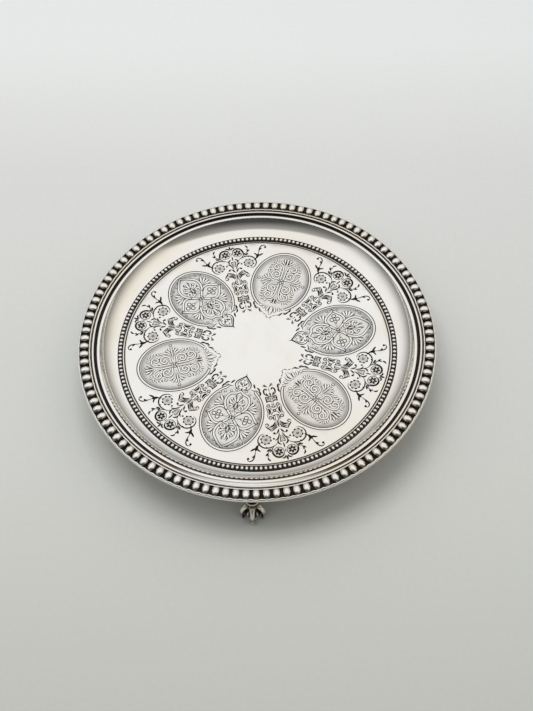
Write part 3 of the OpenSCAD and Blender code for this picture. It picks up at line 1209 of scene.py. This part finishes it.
# Where the band of painted dark reflection on a bead is, and how far it fades to each side, as shares
# of its half-height
REFLECTION_BAND_MIDDLE = 0.36
REFLECTION_BAND_REACH = 0.3


def bead_shape(length, width, height, rows, columns):
    """A rounded bead as (x along the border's radius, y round it, z up), centre at the origin."""
    verts, faces = [(0, 0, -height)], []
    for i in range(1, rows):
        b = math.pi * i / rows
        for j in range(columns):
            a = 2 * math.pi * j / columns
            x, y = length * math.sin(b) * math.cos(a), width * math.sin(b) * math.sin(a)
            verts.append((x, y, -height * math.cos(b)))
    verts.append((0, 0, height))
    last = len(verts) - 1
    for j in range(columns):
        n = (j + 1) % columns
        faces.append((0, 1 + n, 1 + j))
        faces.append((last, last - columns + j, last - columns + n))
        for i in range(rows - 2):
            a, b = 1 + i * columns, 1 + (i + 1) * columns
            faces.append((a + j, a + n, b + n, b + j))
    return np.array(verts), faces


def bead_row(name, count, radius, z, size, rows, columns, floor_z, painted_reflection, finish, replaces, seed):
    """A ring of beads as one piece, each turned and sized a little differently, as struck beads
    are. They end at floor_z and have a painted dark reflection in a band above their middles."""
    random = np.random.default_rng(seed)
    shape, shape_faces = bead_shape(*size, rows, columns)
    share = shape[:, 2] / size[2]
    # a band of painted dark reflection round each bead, standing in for the dark surroundings it
    # mirrors
    dirt = painted_reflection * np.clip(1 - np.abs(share - REFLECTION_BAND_MIDDLE) / REFLECTION_BAND_REACH, 0, 1)
    beads = []
    for k in range(count):
        grow = 1 + random.uniform(-BEAD_GROWTH, BEAD_GROWTH, 3)
        tilt = random.uniform(-BEAD_TILT, BEAD_TILT)
        p = shape * grow
        p = np.column_stack([p[:, 0] - tilt * p[:, 1], p[:, 1] + tilt * p[:, 0], p[:, 2]])
        p[:, 2] = np.maximum(p[:, 2] + z, floor_z)
        p[:, 0] += radius
        beads.append((turn_z(p, 2 * math.pi * k / count), shape_faces))
    data = {"dirt": np.tile(dirt, count)}
    new_piece(name, *joined(beads), finish, "polished_silver", replaces, 60, None, data)


def make_rim_beads(finish):
    bead_row(
        "rim_beads_struck", RIM_BEADS, OUTER_R - LIP_W - TROUGH_W / 2, TOP_Z - 2.2, RIM_BEAD,
        rows=16, columns=24, floor_z=FLANGE_Z + 0.4, painted_reflection=0.5, finish=finish,
        replaces=["rim_beads"], seed=3,
    )


def make_wire_beads(finish):
    bead_row(
        "inner_beads", WIRE_BEADS, WIRE_OUT_R - WIRE_W / 2, FLAT_Z + 0.45, WIRE_BEAD,
        rows=10, columns=14, floor_z=FLAT_Z + 0.1, painted_reflection=0.0, finish=finish,
        replaces=["inner_bead_wire"], seed=5,
    )


def make_edge_wire(finish):
    half = PLATE_T / 2
    profile = [(FLANGE_R, FLANGE_Z - PLATE_T)]
    profile += arc((OUTER_R - half, FLANGE_Z - half), half, -90, 90, 10)
    profile += [(FLANGE_R, FLANGE_Z)]
    verts, faces = lathe(profile)
    new_piece("edge_wire_turned", verts, faces, finish, "polished_silver", ["edge_wire"])


def make_wire_strip(finish):
    """The strip that the small beads stand on, painted black all over as the shade between the beads.
    """
    r0, r1, z1 = WIRE_OUT_R - WIRE_W, WIRE_OUT_R, FLAT_Z + WIRE_T
    profile = [(r0, FLAT_Z), (r0, z1), (r1, z1), (r1, FLAT_Z)]
    turned_piece("inner_bead_strip", profile, finish, "oxidised_silver", [], lambda r, z, a: 1.0)


# ---------------------------------------------------------------- the feet

# Paths are (outwards, up) from under the ball, each point with a radius and how dark its painted shade
# is there
TOE_ANGLES = (0, 68, -68, 180)
TOE_PATH = [(0.8, 11.6), (3.2, 11.0), (5.0, 9.4), (6.0, 7.2), (6.3, 4.8), (6.4, 2.6), (6.4, 0.6)]
TOE_RADII = [1.6, 1.75, 1.4, 1.5, 1.2, 1.35, 1.1]
TOE_SHADE = [1, 0.2, 0, 0, 0.3, 0, 0]
LEG_PATH = [(0, 10.6), (0, 12.4), (0, 14.2), (0, 15.1), (0, 16.1), (-0.2, 17.1), (-0.5, 18.2)]
LEG_PATH += [(-0.9, 19.2), (-1.6, 21.0), (-3.0, 24.0), (-4.4, 27.0)]
LEG_RADII = [3.9, 4.3, 3.2, 3.0, 4.1, 2.9, 3.6, 2.8, 2.9, 3.5, 4.4]
LEG_SHADE = [0.9, 0.3, 0.5, 0.9, 0, 1, 0, 1, 0.5, 0.4, 0.9]


def tube(path, radii, shades, sides, flutes=0, ridge=0.0):
    """A solid of changing round section along a path in the vertical plane, with closed ends, and
    how dark its painted shade is at each of its points. flutes are grooves along it, darkened with
    painted shade, and ridge draws its outer side to a blunt edge that stays unshaded."""
    centre = spline([(*p, r, d) for p, r, d in zip(path, radii, shades)], 0.5)
    along = np.gradient(centre[:, :2], axis=0)
    along /= np.linalg.norm(along, axis=1)[:, None]
    verts, faces, dirt = [], [], []
    for (x, z, radius, shade_amount), (dx, dz) in zip(centre, along):
        for k in range(sides):
            a = 2 * math.pi * k / sides
            # the bottoms of the flutes, and the flanks away from the outer edge, get painted shade
            groove = 0.5 + 0.5 * math.cos(flutes * a) if flutes else 0
            flank = 0 if flutes else max(0, 0.8 - 1.6 * max(0, math.cos(a)))
            dirt.append(max(shade_amount, 1.6 * shade_amount * groove, flank))
            r = radius * (1 - 0.07 * groove)
            outward = r * math.cos(a) * (1 + ridge * max(0, math.cos(a)) ** 6)
            verts.append((x - dz * outward, r * math.sin(a), z + dx * outward))
    for i in range(len(centre) - 1):
        for k in range(sides):
            n = (k + 1) % sides
            a, b = i * sides, (i + 1) * sides
            faces.append((a + k, a + n, b + n, b + k))
    faces.append(tuple(range(sides))[::-1])
    faces.append(tuple(range(len(verts) - sides, len(verts))))
    return np.array(verts), faces, np.clip(dirt, 0, 1)


def under_plate(r):
    """Height of the plate's underside at that radius."""
    under = booge_arc(PLATE_T)
    return np.interp(r, [p[0] for p in under], [p[1] for p in under])


def make_claw(foot, angle, finish):
    """A claw of four toes on a fluted leg, with painted shade in its crevices and next to the ball."""
    toe, toe_faces, toe_dirt = tube(TOE_PATH, TOE_RADII, TOE_SHADE, 20, ridge=0.16)
    parts = [(turn_z(toe, math.radians(a)), toe_faces, toe_dirt) for a in TOE_ANGLES]
    parts.append(tube(LEG_PATH, LEG_RADII, LEG_SHADE, 48, flutes=10))
    verts, faces = joined([part[:2] for part in parts])
    # painted shade on the claw where it comes close to the ball
    gap = np.linalg.norm(verts - (0, 0, BALL_Z), axis=1) - BALL_R
    dirt = np.maximum(np.concatenate([part[2] for part in parts]), np.clip(1.2 - gap, 0, 1))
    verts[:, 0] += FOOT_R
    sunk_in_plate = under_plate(np.hypot(verts[:, 0], verts[:, 1])) + 0.3
    verts[:, 2] = np.clip(verts[:, 2], 0, sunk_in_plate)
    new_piece(
        f"{foot}_claw_cast", turn_z(verts, angle), faces, finish, "cast_silver",
        [f"{foot}_foot_claw"], 50, None, {"dirt": dirt},
    )


def make_ball(foot, angle, finish):
    """The ball in a claw, with painted shade beside the toes and under the leg."""
    ball, faces = bead_shape(BALL_R, BALL_R, BALL_R, 32, 64)
    azimuth = np.degrees(np.arctan2(ball[:, 1], ball[:, 0]))
    # painted shade on the top of the ball, under the leg, and beside each toe
    dirt = np.clip(ball[:, 2] - 3.0, 0, 1)
    for toe_angle in TOE_ANGLES:
        turn = np.abs((azimuth - toe_angle + 180) % 360 - 180)
        from_toe = np.radians(turn) * np.hypot(ball[:, 0], ball[:, 1])
        dirt = np.maximum(dirt, np.clip(2.7 - from_toe, 0, 1))
    ball[:, 0] += FOOT_R
    ball[:, 2] = np.maximum(ball[:, 2] + BALL_Z, 0)
    new_piece(
        f"{foot}_ball_cast", turn_z(ball, angle), faces, finish, "cast_silver",
        [f"{foot}_foot_ball"], 60, None, {"dirt": dirt},
    )


def finish_pad(foot, finish):
    """The CAD's mounting pad stays, in cast silver."""
    pad = frame["nodes"][f"{foot}_foot_pad"]
    pad.data.materials.clear()
    pad.data.materials.append(finish)


# ---------------------------------------------------------------- build

make_camera()
make_world()
make_floor()
make_key_light()
bpy.context.scene.view_settings.view_transform = "Standard"

silver = silver_material("polished_silver")
satin = silver_material("bead_silver", roughness=0.09)
cast = silver_material("cast_silver", colour=(0.74, 0.73, 0.69), roughness=0.2, tarnish=0.1)

make_plate(engraved_material())
make_reeds(silver)
make_channel(silver)
make_rim_beads(satin)
make_edge_wire(silver)
make_wire_beads(silver)
make_wire_strip(silver)
for foot, degrees in FOOT_ANGLES.items():
    make_claw(foot, math.radians(degrees), cast)
    make_ball(foot, math.radians(degrees), cast)
    finish_pad(foot, cast)

boxes = {"cad": CAD_BOX, "visual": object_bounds()}
{key: [list(corner) for corner in box] for key, box in boxes.items()}
